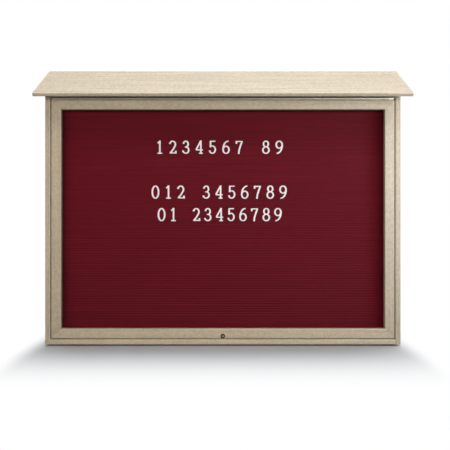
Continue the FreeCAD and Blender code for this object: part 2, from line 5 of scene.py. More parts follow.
import bpy
from bpy.props import FloatProperty, FloatVectorProperty, IntProperty, PointerProperty, StringProperty
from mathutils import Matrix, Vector


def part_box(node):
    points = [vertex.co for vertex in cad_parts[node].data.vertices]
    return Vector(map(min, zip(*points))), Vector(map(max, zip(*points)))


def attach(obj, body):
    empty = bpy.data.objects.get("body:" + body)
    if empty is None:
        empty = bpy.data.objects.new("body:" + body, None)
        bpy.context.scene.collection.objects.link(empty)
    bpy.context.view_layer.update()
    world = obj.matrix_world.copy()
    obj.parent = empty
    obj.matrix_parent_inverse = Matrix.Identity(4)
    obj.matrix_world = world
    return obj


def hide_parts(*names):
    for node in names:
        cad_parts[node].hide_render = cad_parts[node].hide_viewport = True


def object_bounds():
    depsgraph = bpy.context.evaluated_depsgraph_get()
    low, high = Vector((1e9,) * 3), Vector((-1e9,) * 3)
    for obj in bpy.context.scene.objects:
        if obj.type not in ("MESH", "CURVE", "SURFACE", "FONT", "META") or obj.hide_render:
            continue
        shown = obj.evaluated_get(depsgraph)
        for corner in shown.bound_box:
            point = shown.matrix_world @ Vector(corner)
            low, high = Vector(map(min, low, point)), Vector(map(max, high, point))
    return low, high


bl_info = {
    "name": "Lockable notice board",
    "version": (1, 0, 0),
    "blender": (4, 5, 0),
    "location": "View3D > Sidebar > Notice board",
    "description": "Finishes a wall notice board of plastic lumber with a top-hung, lockable door",
    "category": "Object",
}

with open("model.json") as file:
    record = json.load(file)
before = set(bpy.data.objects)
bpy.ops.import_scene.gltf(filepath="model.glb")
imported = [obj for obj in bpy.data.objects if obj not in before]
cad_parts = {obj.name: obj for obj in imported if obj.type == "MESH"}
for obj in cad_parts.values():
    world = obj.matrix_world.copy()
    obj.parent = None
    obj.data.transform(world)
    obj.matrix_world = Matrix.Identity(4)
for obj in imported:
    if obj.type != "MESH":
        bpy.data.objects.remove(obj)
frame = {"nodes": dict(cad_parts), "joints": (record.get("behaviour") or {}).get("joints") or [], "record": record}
CAD_BOUNDS = [list(corner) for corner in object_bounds()]
BODY_OF = {node: body for body, nodes in frame["record"]["behaviour"]["bodies"].items() for node in nodes}
MM = 0.001
MERGE = 0.000002
FLAT = math.radians(1.0)
SHARP = math.radians(30.0)
LOCK_SHARP = math.radians(40.0)
FRONT_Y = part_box("left_side_board")[0].y
UP, DOWN = Vector((0, 0, 1)), Vector((0, 0, -1))
BACKWARDS, RIGHTWARDS = Vector((0, 1, 0)), Vector((1, 0, 0))
KNUCKLES = 93
LOCK_MARGIN = 14.0 * MM
EVEN, LEVEL, UPRIGHT = (1.0, 1.0, 1.0), (0.06, 1.0, 1.0), (1.0, 1.0, 0.06)
WHITE = (1.0, 1.0, 1.0, 1.0)


def colour(name, description, default):
    """A colour that a user would change."""
    return FloatVectorProperty(
        name=name, description=description, subtype="COLOR", size=3, min=0.0, max=1.0, default=default
    )


def amount(name, description, default, **limits):
    """A number that a user would change."""
    return FloatProperty(name=name, description=description, default=default, **limits)


def length(name, description, default):
    """A length that a user would change."""
    return amount(name, description, default, unit="LENGTH", min=0.0)


def characters(name, description, default):
    """A row of characters that a user would change."""
    return StringProperty(name=name, description=description, default=default)


class LumberLook(bpy.types.PropertyGroup):
    """Boards of recycled plastic lumber."""

    base: colour("Sand", "Main colour of the plastic boards", (0.480, 0.372, 0.241))
    # The roof tint is a painted reflection: bluer and paler than the other boards, for the sky that the roof's
    # slope reflects.
    roof: colour("Sand with painted sky reflection", "Main colour of the roof board, painted bluer as sky reflection", (0.476, 0.377, 0.256))
    fleck: colour("Fleck", "Darker grains in the plastic", (0.29, 0.22, 0.14))
    edge: length("Edge radius", "Rounding of every board edge", 1.1 * MM)
    long_edge: length("Front edge radius", "Rounding of the long edges of a front face", 2.4 * MM)
    cut_edge: length("Cut edge radius", "Easing of the sawn ends of those boards", 0.6 * MM)


class LetterLook(bpy.types.PropertyGroup):
    """Grooved board and its loose digits."""

    cloth: colour("Burgundy", "Colour of the grooved board", (0.147, 0.0084, 0.0152))
    digit: colour("Digit", "Colour of the loose digits", (0.95, 0.80, 0.77))
    height: length("Digit height", "Height of the loose digits", 50.8 * MM)
    width: length("Digit width", "Width of the loose digits", 36.0 * MM)
    stem: length("Thick stroke", "Width of upright strokes", 6.2 * MM)
    hair: length("Thin stroke", "Width of level strokes", 4.2 * MM)
    thick: length("Thickness", "How far a digit stands out", 2.8 * MM)
    row_one: characters("First row", "Digits of the first row", "1234567 89")
    row_two: characters("Second row", "Digits of the second row", "012 3456789")
    row_three: characters("Third row", "Digits of the third row", "01 23456789")


class HardwareLook(bpy.types.PropertyGroup):
    """Metal and rubber pieces."""

    steel: colour("Hinge steel", "Mill finish of the continuous hinge", (0.33, 0.335, 0.275))
    zinc: colour("Zinc", "Plated braces, brackets and screws", (0.60, 0.61, 0.62))
    lock: colour("Lock ring", "Dark plating of the lock", (0.030, 0.020, 0.011))
    plug: colour("Lock plug", "Bright middle of the lock's plug", (0.50, 0.42, 0.27))
    # The strike's colour is darkened as painted shade of the gap under the door.
    strike: colour("Strike", "Plate behind the door's lower edge, darkened as painted shade of the gap", (0.30, 0.25, 0.18))
    paint: colour("Strut paint", "Paint of the gas struts", (0.018, 0.018, 0.019))
    rod: colour("Strut rod", "Bright rod of the gas struts", (0.62, 0.63, 0.64))
    rubber: colour("Seal", "Foam rubber of the seals", (0.035, 0.033, 0.031))
    strip: colour("Strips", "Extruded strips that clamp the pane", (0.40, 0.35, 0.27))
    knuckle_sides: IntProperty(name="Knuckle sides", description="Sides of a hinge knuckle", default=20)


class StageLook(bpy.types.PropertyGroup):
    """Camera, lamps and floor."""

    distance: length("Camera distance", "From the cabinet's face to the camera", 2.092)
    height: length("Camera height", "From the floor to the camera", 0.481)
    lens: amount("Lens", "Focal length in millimetres", 45.05)
    shift_x: amount("Shift across", "Sideways framing", 0.0048)
    shift_y: amount("Shift up", "Upright framing", -0.022)
    sky: amount("Sky", "Strength of the light from above", 3.3)
    key: amount("Key", "Power of the lamp at the upper right", 1.4)
    high: amount("High", "Power of the lamp above and in front", 11.0)
    sheen: amount("Sheen", "Power of the panel that shows as sheen", 88.0)
    front: amount("Front", "Power of the wide lamp in front", 22.0)
    rear: amount("Rear", "Power of the wide lamp behind", 22.0)
    side: amount("Side", "Power of the lamp at each side", 1.2)
    fill: amount("Fill", "Strength of the light from all round", 0.06)
    floor: colour("Floor", "Colour of the floor", (0.50, 0.495, 0.49))
    bounce: colour("Bounce", "Colour of the light that the floor throws back", (0.10, 0.10, 0.10))
    air: colour("Air", "Colour of the light from all round", (0.93, 0.96, 1.0))


class NoticeBoard(bpy.types.PropertyGroup):
    """All the sizes and colours of the notice board's finish."""

    lumber: PointerProperty(type=LumberLook)
    letters: PointerProperty(type=LetterLook)
    hardware: PointerProperty(type=HardwareLook)
    stage: PointerProperty(type=StageLook)


def look():
    """The sizes and colours in use."""
    return bpy.context.scene.notice_board


class Value:
    """A shader socket that works in sums, as a number does."""

    def __init__(self, paint, socket):
        self.paint = paint
        self.socket = socket

    def maths(self, operation, first, second):
        """One Math node of two values, links or numbers."""
        return self.paint.node("ShaderNodeMath", {"operation": operation}, {0: first, 1: second})

    def unsigned(self):
        """The value without its sign."""
        return self.maths("ABSOLUTE", self, 0.0)

    def at_least(self, other):
        """The larger of the value and another."""
        return self.maths("MAXIMUM", self, other)

    def __add__(self, other):
        return self.maths("ADD", self, other)

    def __sub__(self, other):
        return self.maths("SUBTRACT", self, other)

    def __rsub__(self, other):
        return self.maths("SUBTRACT", other, self)

    def __mul__(self, other):
        return self.maths("MULTIPLY", self, other)

    __radd__ = __add__
    __rmul__ = __mul__


class Paint:
    """The nodes of one material, or of the world."""

    def __init__(self, name, store="materials"):
        self.painted = getattr(bpy.data, store).new(name)
        self.painted.use_nodes = True
        self.tree = self.painted.node_tree
        self.tree.nodes.clear()

    def node(self, kind, settings=None, inputs=None, output=0):
        """One node of a kind, with its settings, then the values or links of its sockets."""
        made = self.tree.nodes.new(kind)
        for word, value in (settings or {}).items():
            setattr(made, word, value)
        for socket, value in (inputs or {}).items():
            if isinstance(value, Value):
                self.tree.links.new(value.socket, made.inputs[socket])
            else:
                made.inputs[socket].default_value = value
        return Value(self, made.outputs[output]) if made.outputs else None

    def place(self, scale=EVEN):
        """Place on the object, drawn out or squeezed along each axis."""
        point = self.node("ShaderNodeTexCoord", output="Object")
        return self.node("ShaderNodeMapping", None, {"Vector": point, "Scale": scale})

    def noise(self, scale, detail=2.0, roughness=0.5, grain=EVEN):
        """Soft cloudy pattern between 0 and 1, drawn out along the grain."""
        return self.node("ShaderNodeTexNoise", None, {
            "Vector": self.place(grain), "Scale": scale, "Detail": detail, "Roughness": roughness,
        })

    def grains(self, pattern, low, high):
        """Pattern with its contrast raised between two levels."""
        inputs = {"Value": pattern, "From Min": low, "From Max": high}
        return self.node("ShaderNodeMapRange", {"interpolation_type": "SMOOTHSTEP"}, inputs)

    def blend(self, share, first, second):
        """Colour between two colours."""
        inputs = {0: share, 6: rgba(first), 7: rgba(second)}
        return self.node("ShaderNodeMix", {"data_type": "RGBA"}, inputs, output=2)

    def mix(self, share, first, second):
        """Shader between two shaders."""
        return self.node("ShaderNodeMixShader", None, {0: share, 1: first, 2: second})

    def length(self, vector):
        """Length of a vector."""
        return self.node("ShaderNodeVectorMath", {"operation": "LENGTH"}, {0: vector}, output=1)

    def seen(self):
        """Whether the camera sees the surface, straight or in a gloss."""
        camera = self.node("ShaderNodeLightPath", output="Is Camera Ray")
        return camera.at_least(self.node("ShaderNodeLightPath", output="Is Glossy Ray"))

    def bump(self, height, depth):
        """Normal of a surface with small hollows and ridges."""
        return self.node("ShaderNodeBump", None, {"Height": height, "Distance": depth, "Strength": 1.0})

    def surface(self, **sockets):
        """Finish the material with one Principled surface."""
        inputs = {word.replace("_", " "): value for word, value in sockets.items()}
        return self.output(self.node("ShaderNodeBsdfPrincipled", None, inputs))

    def output(self, shader, kind="Material"):
        """Show one shader as the surface."""
        self.node(f"ShaderNodeOutput{kind}", None, {"Surface": shader})
        return self.painted


def rgba(value):
    """A colour with full alpha, or a socket as it is."""
    return value if isinstance(value, Value) else (*value, 1.0)


def shaded(value, *shares):
    """A colour times a share, or times one share for each channel."""
    return tuple(channel * share for channel, share in zip(value, shares * 3))


def lumber(name, grain, shade, contrast=0.18, tint="base"):
    """Recycled plastic board: fine flecks, faint streaks along the board and a matt dimpled skin."""
    colours = look().lumber
    base = getattr(colours, tint)
    paint = Paint(name)
    flecks = paint.grains(paint.noise(300.0, 3.0, 0.65), 0.54, 0.68)
    mottle = paint.noise(110.0, 3.0, 0.6)
    streaks = paint.noise(70.0, 3.0, 0.55, grain)
    tone = 0.60 * mottle + 0.40 * streaks
    body = paint.blend(
        paint.grains(tone, 0.25, 0.75),
        shaded(base, (1 - contrast) * shade), shaded(base, (1 + contrast) * shade),
    )
    skin = paint.noise(900.0) + 0.6 * streaks
    return paint.surface(
        Base_Color=paint.blend(0.46 * flecks, body, shaded(colours.fleck, shade)),
        Roughness=0.50 + 0.22 * mottle,
        Specular_IOR_Level=0.35,
        Normal=paint.bump(skin, 0.10 * MM),
    )


def letter_cloth(name):
    """Flocked vinyl over the grooved board, a little uneven from rib to rib."""
    cloth = look().letters.cloth
    paint = Paint(name)
    nap = paint.noise(1400.0, 2.0, 0.6)
    bands = paint.noise(130.0, 2.0, 0.6, (0.02, 1.0, 1.0))
    tone = paint.grains(0.5 * nap + 0.5 * bands, 0.3, 0.7)
    return paint.surface(
        Base_Color=paint.blend(tone, shaded(cloth, 0.86), shaded(cloth, 1.14)),
        Roughness=0.72 + 0.2 * nap,
        Specular_IOR_Level=0.03,
        Normal=paint.bump(nap, 0.06 * MM),
    )


def digit_plastic(name):
    """Moulded white plastic with the slight yellowing of letters that are handled."""
    digit = look().letters.digit
    paint = Paint(name)
    wear = paint.noise(60.0, 3.0, 0.6)
    return paint.surface(
        Base_Color=paint.blend(wear, digit, shaded(digit, 0.93)),
        Roughness=0.40 + 0.14 * wear,
        Specular_IOR_Level=0.3,
        Normal=paint.bump(paint.noise(500.0), 0.03 * MM),
    )


def pane(name):
    """Clear sheet that reflects only at a slant."""
    paint = Paint(name)
    slant = paint.node("ShaderNodeLayerWeight", output="Facing")
    gloss = paint.node("ShaderNodeBsdfPrincipled", None, {
        "Base Color": (0.06, 0.062, 0.062, 1.0), "Roughness": 0.03, "Metallic": 1.0,
    })
    clear = paint.node("ShaderNodeBsdfTransparent", None, {"Color": (0.985, 0.99, 0.99, 1.0)})
    return paint.output(paint.mix(0.5 * slant * slant * slant, clear, gloss))


def metal(name, tint, roughness, brush=EVEN, stain=0.88):
    """Plated or bare metal with fine brush lines and faint stains."""
    base = getattr(look().hardware, tint)
    paint = Paint(name)
    lines = paint.noise(900.0, 2.0, 0.6, brush)
    stains = paint.noise(45.0, 4.0, 0.6)
    return paint.surface(
        Base_Color=paint.blend(stains, shaded(base, stain), base),
        Metallic=1.0,
        Roughness=roughness - 0.08 + 0.16 * (0.5 * lines + 0.5 * stains),
        Normal=paint.bump(lines, 0.012 * MM),
    )


def plug_dark_at_rim(name):
    """Plated plug, bright in the middle round the slot for the key and dark towards its rim."""
    paint = Paint(name)
    low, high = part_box("lock_plug")
    middle = (low + high) / 2
    ends = {0: paint.place(), 1: (middle.x, low.y, middle.z)}
    away = paint.node("ShaderNodeVectorMath", {"operation": "SUBTRACT"}, ends)
    scratches = paint.noise(1800.0, 3.0, 0.6)
    rim = paint.grains(paint.length(away) + 0.8 * MM * scratches, 2.6 * MM, 3.9 * MM)
    return paint.surface(
        Base_Color=paint.blend(rim, look().hardware.plug, look().hardware.lock),
        Metallic=1.0,
        Roughness=0.30 + 0.14 * scratches,
        Normal=paint.bump(scratches, 0.01 * MM),
    )


def coat(name, tint, pale, roughness, rougher, depth, pattern, grain=EVEN):
    """Paint, rubber or plastic with one fine pattern in its colour, its gloss and its skin."""
    base = getattr(look().hardware, tint)
    paint = Paint(name)
    skin = paint.noise(*pattern, grain)
    return paint.surface(
        Base_Color=paint.blend(skin, base, shaded(base, *pale)),
        Roughness=roughness + rougher * skin,
        Normal=paint.bump(skin, depth),
    )


FINISHES = {
    # The lumber shares are painted light. Level boards are a little darker than upright ones, for light that the
    # grain reflects differently. The bottom rail and the bottom board are painted lighter, for the sheen and floor
    # light that they catch near the floor.
    "sand_lumber_level": (lumber, LEVEL, 0.95),
    "sand_lumber_roof": (lumber, LEVEL, 0.95, 0.28, "roof"),
    "sand_lumber_light": (lumber, LEVEL, 1.09),
    "sand_lumber_pale": (lumber, LEVEL, 1.16),
    "sand_lumber_upright": (lumber, UPRIGHT, 0.97),
    "sand_panel": (lumber, (0.2, 1.0, 1.0), 0.94),
    "burgundy_cloth": (letter_cloth,),
    "digit_plastic": (digit_plastic,),
    "clear_sheet": (pane,),
    "mill_steel": (metal, "steel", 0.50, (0.03, 1.0, 1.0)),
    "zinc_plate": (metal, "zinc", 0.34),
    # Strike plate darkened as painted shade of the gap under the door.
    "dull_plate": (metal, "strike", 0.55),
    "lock_ring": (metal, "lock", 0.42),
    "lock_plug": (plug_dark_at_rim,),
    "bright_rod": (metal, "rod", 0.28, (1.0, 1.0, 0.05), 0.96),
    "black_paint": (coat, "paint", (1.6,), 0.30, 0.12, 0.03 * MM, (700.0, 2.0, 0.5)),
    "foam_rubber": (coat, "rubber", (1.7,), 0.80, 0.15, 0.08 * MM, (1600.0, 3.0, 0.7)),
    "strip_plastic": (
        coat, "strip", (1.2, 1.2, 1.2222), 0.42, 0.15, 0.04 * MM, (500.0, 2.0, 0.5), (0.1, 1.0, 0.1),
    ),
}


def finish(name):
    """Finish of that name, made the first time that it is asked for."""
    maker, *settings = FINISHES[name]
    return bpy.data.materials.get(name) or maker(name, *settings)


def deselect():
    """Leave no piece selected."""
    bpy.ops.object.select_all(action="DESELECT")


def activate(piece):
    """Select one piece alone."""
    deselect()
    piece.select_set(True)
    bpy.context.view_layer.objects.active = piece


def open_mesh(piece):
    """Edit one piece with nothing of it selected."""
    activate(piece)
    bpy.ops.object.mode_set(mode="EDIT")
    bpy.ops.mesh.select_mode(type="VERT")
    bpy.ops.mesh.select_all(action="DESELECT")


def close_mesh():
    """Back to object mode."""
    bpy.ops.object.mode_set(mode="OBJECT")


def select_mesh():
    """Select the whole of the open mesh."""
    bpy.ops.mesh.select_all(action="SELECT")


def close_solid():
    """Point every face of the open mesh outwards, then back to object mode."""
    select_mesh()
    bpy.ops.mesh.normals_make_consistent(inside=False)
    close_mesh()


def smooth(piece, sharp=SHARP):
    """Shade a piece smooth but for its sharp edges."""
    activate(piece)
    bpy.ops.object.shade_smooth_by_angle(angle=sharp)


def twin(piece, name):
    """Copy of a piece, with a mesh of its own."""
    copy = bpy.data.objects.new(name, piece.data.copy())
    bpy.context.scene.collection.objects.link(copy)
    return copy


def block(place, scale, size=1.0):
    """Cube about a place, drawn out or squeezed along each axis."""
    deselect()
    bpy.ops.mesh.primitive_cube_add(size=size, location=place)
    piece = bpy.context.object
    piece.scale = scale
    settle(piece)
    return piece


def apply_modifier(piece, kind, **settings):
    """Add one modifier and apply it."""
    activate(piece)
    modifier = piece.modifiers.new(kind.title(), kind)
    for word, value in settings.items():
        setattr(modifier, word, value)
    bpy.ops.object.modifier_apply(modifier=modifier.name)


def settle(piece):
    """Bring a piece's place into its mesh."""
    activate(piece)
    bpy.ops.object.transform_apply(location=True, rotation=True, scale=True)


def join(pieces, name="joined"):
    """Several pieces as one, with its place in its mesh."""
    deselect()
    for piece in pieces:
        piece.select_set(True)
    bpy.context.view_layer.objects.active = pieces[0]
    if len(pieces) > 1:
        bpy.ops.object.join()
    pieces[0].name = name
    settle(pieces[0])
    return pieces[0]


def dress(piece, material, body, slot, *nodes):
    """Give a finished piece its material, its body and the nodes that it stands for."""
    piece.data.materials.clear()
    piece.data.materials.append(finish(material))
    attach(piece, body)
    if nodes:
        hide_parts(*nodes)
    return piece


def stand_in(piece, node, ending, material, slot, sharp=SHARP):
    """Name, smooth and dress a new shape of a node."""
    piece.name = f"{node}_{ending}"
    smooth(piece, sharp)
    return dress(piece, material, BODY_OF[node], slot, node)


def clean(piece):
    """Remove doubles and slivers, and point every face outwards."""
    open_mesh(piece)
    select_mesh()
    bpy.ops.mesh.remove_doubles(threshold=MERGE)
    bpy.ops.mesh.dissolve_degenerate(threshold=MERGE)
    close_solid()


def straighten(piece):
    """Remove the points that lie within a straight edge."""
    open_mesh(piece)
    close_mesh()
    uses = Counter(index for edge in piece.data.edges for index in edge.vertices)
    for vertex in piece.data.vertices:
        vertex.select = uses[vertex.index] == 2
    bpy.ops.object.mode_set(mode="EDIT")
    bpy.ops.mesh.dissolve_verts()
    close_mesh()


def round_edges(piece, radius, segments=3, clamp=True):
    """Round every sharp edge and keep the flats flat."""
    activate(piece)
    bpy.ops.object.shade_smooth()
    apply_modifier(
        piece, "BEVEL", width=radius, segments=segments, limit_method="ANGLE",
        angle_limit=SHARP, use_clamp_overlap=clamp,
    )
    clean(piece)
    straighten(piece)
    apply_modifier(piece, "WEIGHTED_NORMAL", weight=100)


def round_front(piece, radius):
    """Round the long edges of a board's front face."""
    corners = [vertex.co for vertex in piece.data.vertices]
    front = min(corner.y for corner in corners)
    spans = [max(places) - min(places) for places in zip(*corners)]
    along = spans.index(max(spans))
    open_mesh(piece)
    bpy.ops.mesh.select_mode(type="EDGE")
    close_mesh()
    facing, parallel = 0.9, 0.999
    corner_edges = {
        key for face in piece.data.polygons if abs(face.normal.y) < facing for key in face.edge_keys
    }
    for edge in piece.data.edges:
        start, end = (piece.data.vertices[index].co for index in edge.vertices)
        on_front = edge.key in corner_edges and max(start.y, end.y) < front + MERGE
        edge.select = on_front and abs((end - start).normalized()[along]) > parallel
    bpy.ops.object.mode_set(mode="EDIT")
    bpy.ops.mesh.bevel(offset=radius, segments=4, affect="EDGES")
    bpy.ops.mesh.select_mode(type="VERT")
    close_mesh()


def merged_copy(node, parts=()):
    """New piece with a node's shape, its triangles merged into whole faces, parted at places along X."""
    piece = twin(frame["nodes"][node], f"{node}_eased")
    open_mesh(piece)
    select_mesh()
    bpy.ops.mesh.customdata_custom_splitnormals_clear()
    bpy.ops.mesh.remove_doubles(threshold=MERGE)
    for across in parts:
        select_mesh()
        bpy.ops.mesh.bisect(plane_co=(across, 0, 0), plane_no=RIGHTWARDS)
        bpy.ops.mesh.mark_seam(clear=False)
    select_mesh()
    bpy.ops.mesh.dissolve_limited(angle_limit=FLAT, delimit={"NORMAL", "SEAM"})
    close_mesh()
    return piece


def eased(node, material, slot, radius, segments=3):
    """A node's shape with its edges rounded, standing for the node."""
    piece = merged_copy(node)
    round_edges(piece, radius, segments)
    return dress(piece, material, BODY_OF[node], slot, node)


def eased_board(node, material, parts=()):
    """A lumber board or rail that shows its front: long edges well rounded, sawn ends crisp."""
    colours = look().lumber
    piece = merged_copy(node, parts)
    round_front(piece, colours.long_edge)
    round_edges(piece, colours.cut_edge, 2, False)
    return dress(piece, material, BODY_OF[node], "sand_lumber", node)


def draw(points):
    """New piece that is one line of edges through some points."""
    deselect()
    bpy.ops.mesh.primitive_plane_add(size=MM, location=points[0])
    piece = bpy.context.object
    bpy.ops.object.mode_set(mode="EDIT")
    select_mesh()
    bpy.ops.mesh.merge(type="CENTER")
    for start, end in zip(points, points[1:]):
        bpy.ops.mesh.extrude_region_move(TRANSFORM_OT_translate={"value": Vector(end) - Vector(start)})
    return piece


def prism(points, along):
    """Solid with a closed outline, drawn out along a vector."""
    piece = draw(points)
    select_mesh()
    bpy.ops.mesh.edge_face_add()
    bpy.ops.mesh.extrude_region_move(TRANSFORM_OT_translate={"value": along})
    close_solid()
    settle(piece)
    return piece


def turned(base, axis, side, profile, steps=48):
    """Turned solid: its profile is pairs of a radius along side and a distance along axis."""
    base, axis, side = Vector(base), Vector(axis), Vector(side)
    piece = draw([base + side * radius + axis * along for radius, along in profile])
    select_mesh()
    bpy.ops.mesh.spin(steps=steps, angle=2 * math.pi, center=base, axis=axis)
    select_mesh()
    bpy.ops.mesh.remove_doubles(threshold=MERGE)
    close_solid()
    settle(piece)
    return piece


def combine(piece, tools, operation="DIFFERENCE"):
    """Cut some tools out of a piece, or unite them with it, and remove them."""
    for tool in tools:
        apply_modifier(piece, "BOOLEAN", object=tool, operation=operation, solver="EXACT")
        bpy.data.objects.remove(tool)


def screw_model(radius, rise):
    """One screw head at the origin that faces up, with a cross recess."""
    head = turned((0, 0, 0), UP, RIGHTWARDS, [
        (0, -radius * 0.6), (radius * 0.45, -radius * 0.6), (radius, -0.15 * radius), (radius, 0),
        (radius * 0.92, rise * 0.6), (radius * 0.7, rise * 0.9), (0, rise),
    ], 24)
    shapes = ((1.15, 0.26, 0.6), (0.26, 1.15, 0.6))
    combine(head, [block((0, 0, rise), shape, radius) for shape in shapes])
    clean(head)
    smooth(head)
    return head


def drive(name, body, places, facing, radius, rise):
    """Row of like screws, as one piece, each with its head towards facing."""
    model = screw_model(radius, rise)
    turning = facing.to_track_quat("Z", "Y")
    copies = []
    for index, place in enumerate(places):
        copy = twin(model, f"{name}_{index}")
        copy.location = place
        copy.rotation_mode = "QUATERNION"
        copy.rotation_quaternion = turning
        copies.append(copy)
    bpy.data.objects.remove(model)
    return dress(join(copies, name), "zinc_plate", body, "zinc_steel")


def in_mm(*pairs):
    """A profile that is given in millimetres, in metres."""
    return [(radius * MM, along * MM) for radius, along in pairs]


def spaced(first, last, count):
    """Even places between two points, both ends included."""
    first, last = Vector(first), Vector(last)
    return [first.lerp(last, index / (count - 1)) for index in range(count)]


def countersink(piece, places, facing, radius):
    """Shallow conical seats for screws in a face that looks along facing."""
    seats = [
        turned(Vector(place), facing, facing.orthogonal().normalized(), [
            (0, -0.9 * radius), (1.02 * radius, -0.12 * radius), (1.12 * radius, 0.02 * radius),
            (1.12 * radius, radius), (0, radius),
        ], 24)
        for place in places
    ]
    combine(piece, [join(seats)])
    clean(piece)
    apply_modifier(piece, "WEIGHTED_NORMAL", weight=100)


def sunk_screws(piece, name, places, facing, radius, depth):
    """Screws of the cabinet in seats of their own, with their heads a little below the face."""
    countersink(piece, places, facing, radius)
    seated = [place - facing * depth for place in places]
    drive(name, "cabinet", seated, facing, radius, 0.25 * MM)


class Boards(bpy.types.Operator):
    """Cabinet boards, roof, battens, stops and back panel of plastic lumber"""

    bl_idname = "notice_board.boards"
    bl_label = "Boards and roof"

    def execute(self, context):
        edge = context.scene.notice_board.lumber.edge
        level = ("top_board", "front_roof_cleat", "rear_roof_cleat", "bottom_door_stops")
        upright = ("left_batten", "centre_batten", "right_batten", "left_door_stop", "right_door_stop")
        for node in level:
            eased(node, "sand_lumber_level", "sand_lumber", edge)
        eased("roof_board", "sand_lumber_roof", "sand_lumber", edge)
        for node in upright:
            eased(node, "sand_lumber_upright", "sand_lumber", edge)
        # The bottom board is painted lighter, as painted light from the sheen and the floor.
        eased_board("bottom_board", "sand_lumber_pale")
        self.side_boards()
        self.back_panel(edge)
        return {"FINISHED"}

    def side_boards(self):
        """Side boards with the screws that hold the boards between them."""
        inset = 16.0 * MM
        for node, facing in (("left_side_board", -RIGHTWARDS), ("right_side_board", RIGHTWARDS)):
            low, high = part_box(node)
            face = low.x if facing.x < 0 else high.x
            places = []
            for board in ("bottom_board", "top_board"):
                board_low, board_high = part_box(board)
                level = (board_low.z + board_high.z) / 2
                places += spaced((face, board_low.y + inset, level), (face, board_high.y - inset, level), 3)
            piece = eased_board(node, "sand_lumber_upright")
            sunk_screws(piece, f"{node}_screws", places, facing, 4.2 * MM, 0.5 * MM)

    def back_panel(self, edge):
        """Back panel with the screws along its edges."""
        low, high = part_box("back_panel")
        inset = 14.0 * MM
        left, right = low.x + inset, high.x - inset
        bottom, top = low.z + inset, high.z - 3 * inset
        places = spaced((left, high.y, bottom), (right, high.y, bottom), 7)
        places += spaced((left, high.y, top), (right, high.y, top), 7)
        for across in (left, right):
            places += spaced((across, high.y, bottom), (across, high.y, top), 6)[1:-1]
        piece = eased("back_panel", "sand_panel", "sand_lumber", edge / 2)
        sunk_screws(piece, "back_panel_screws", places, BACKWARDS, 3.6 * MM, 0.6 * MM)


class Door(bpy.types.Operator):
    """Mitred rails, corner braces, retainers and pane of the door"""

    bl_idname = "notice_board.door"
    bl_label = "Door and window"

    def execute(self, context):
        eased_board("top_rail", "sand_lumber_level")
        # The bottom rail is painted lighter, as painted light from the sheen and the floor.
        eased_board("bottom_rail", "sand_lumber_light", (-LOCK_MARGIN, LOCK_MARGIN))
        for node in ("left_rail", "right_rail"):
            eased_board(node, "sand_lumber_upright")
        frame["nodes"]["window_pane"].data.materials.clear()
        frame["nodes"]["window_pane"].data.materials.append(finish("clear_sheet"))
        self.retainers()
        self.braces()
        return {"FINISHED"}

    def retainers(self):
        """Strips that clamp the pane, with their screws."""
        level_inset, upright_inset = 50.0 * MM, 70.0 * MM
        places = []
        for node in ("top_retainer", "bottom_retainer", "left_retainer", "right_retainer"):
            eased(node, "strip_plastic", "retainer_plastic", 0.5 * MM, 2)
            low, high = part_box(node)
            centre = (low + high) / 2
            if high.x - low.x > high.z - low.z:
                start, end = low.x + level_inset, high.x - level_inset
                places += spaced((start, high.y, centre.z), (end, high.y, centre.z), 8)
            else:
                start, end = low.z + upright_inset, high.z - upright_inset
                places += spaced((centre.x, high.y, start), (centre.x, high.y, end), 6)
        drive("retainer_screws", "door", places, BACKWARDS, 2.9 * MM, 1.1 * MM)

    def braces(self):
        """Steel angles over the mitres, with four screws each."""
        places = []
        middle = 7.0 * MM
        for level in ("top", "bottom"):
            for side, outward in (("left", -1), ("right", 1)):
                node = f"{level}_{side}_corner_brace"
                eased(node, "zinc_plate", "zinc_steel", 0.35 * MM, 2)
                low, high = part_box(node)
                upright = high.x - middle if outward > 0 else low.x + middle
                bar = high.z - middle if level == "top" else low.z + middle
                inward = -1 if level == "top" else 1
                for reach in (30.0 * MM, 68.0 * MM):
                    places.append((upright - outward * reach, high.y, bar))
                    places.append((upright, high.y, bar + inward * reach))
        drive("brace_screws", "door", places, BACKWARDS, 3.2 * MM, 0.8 * MM)


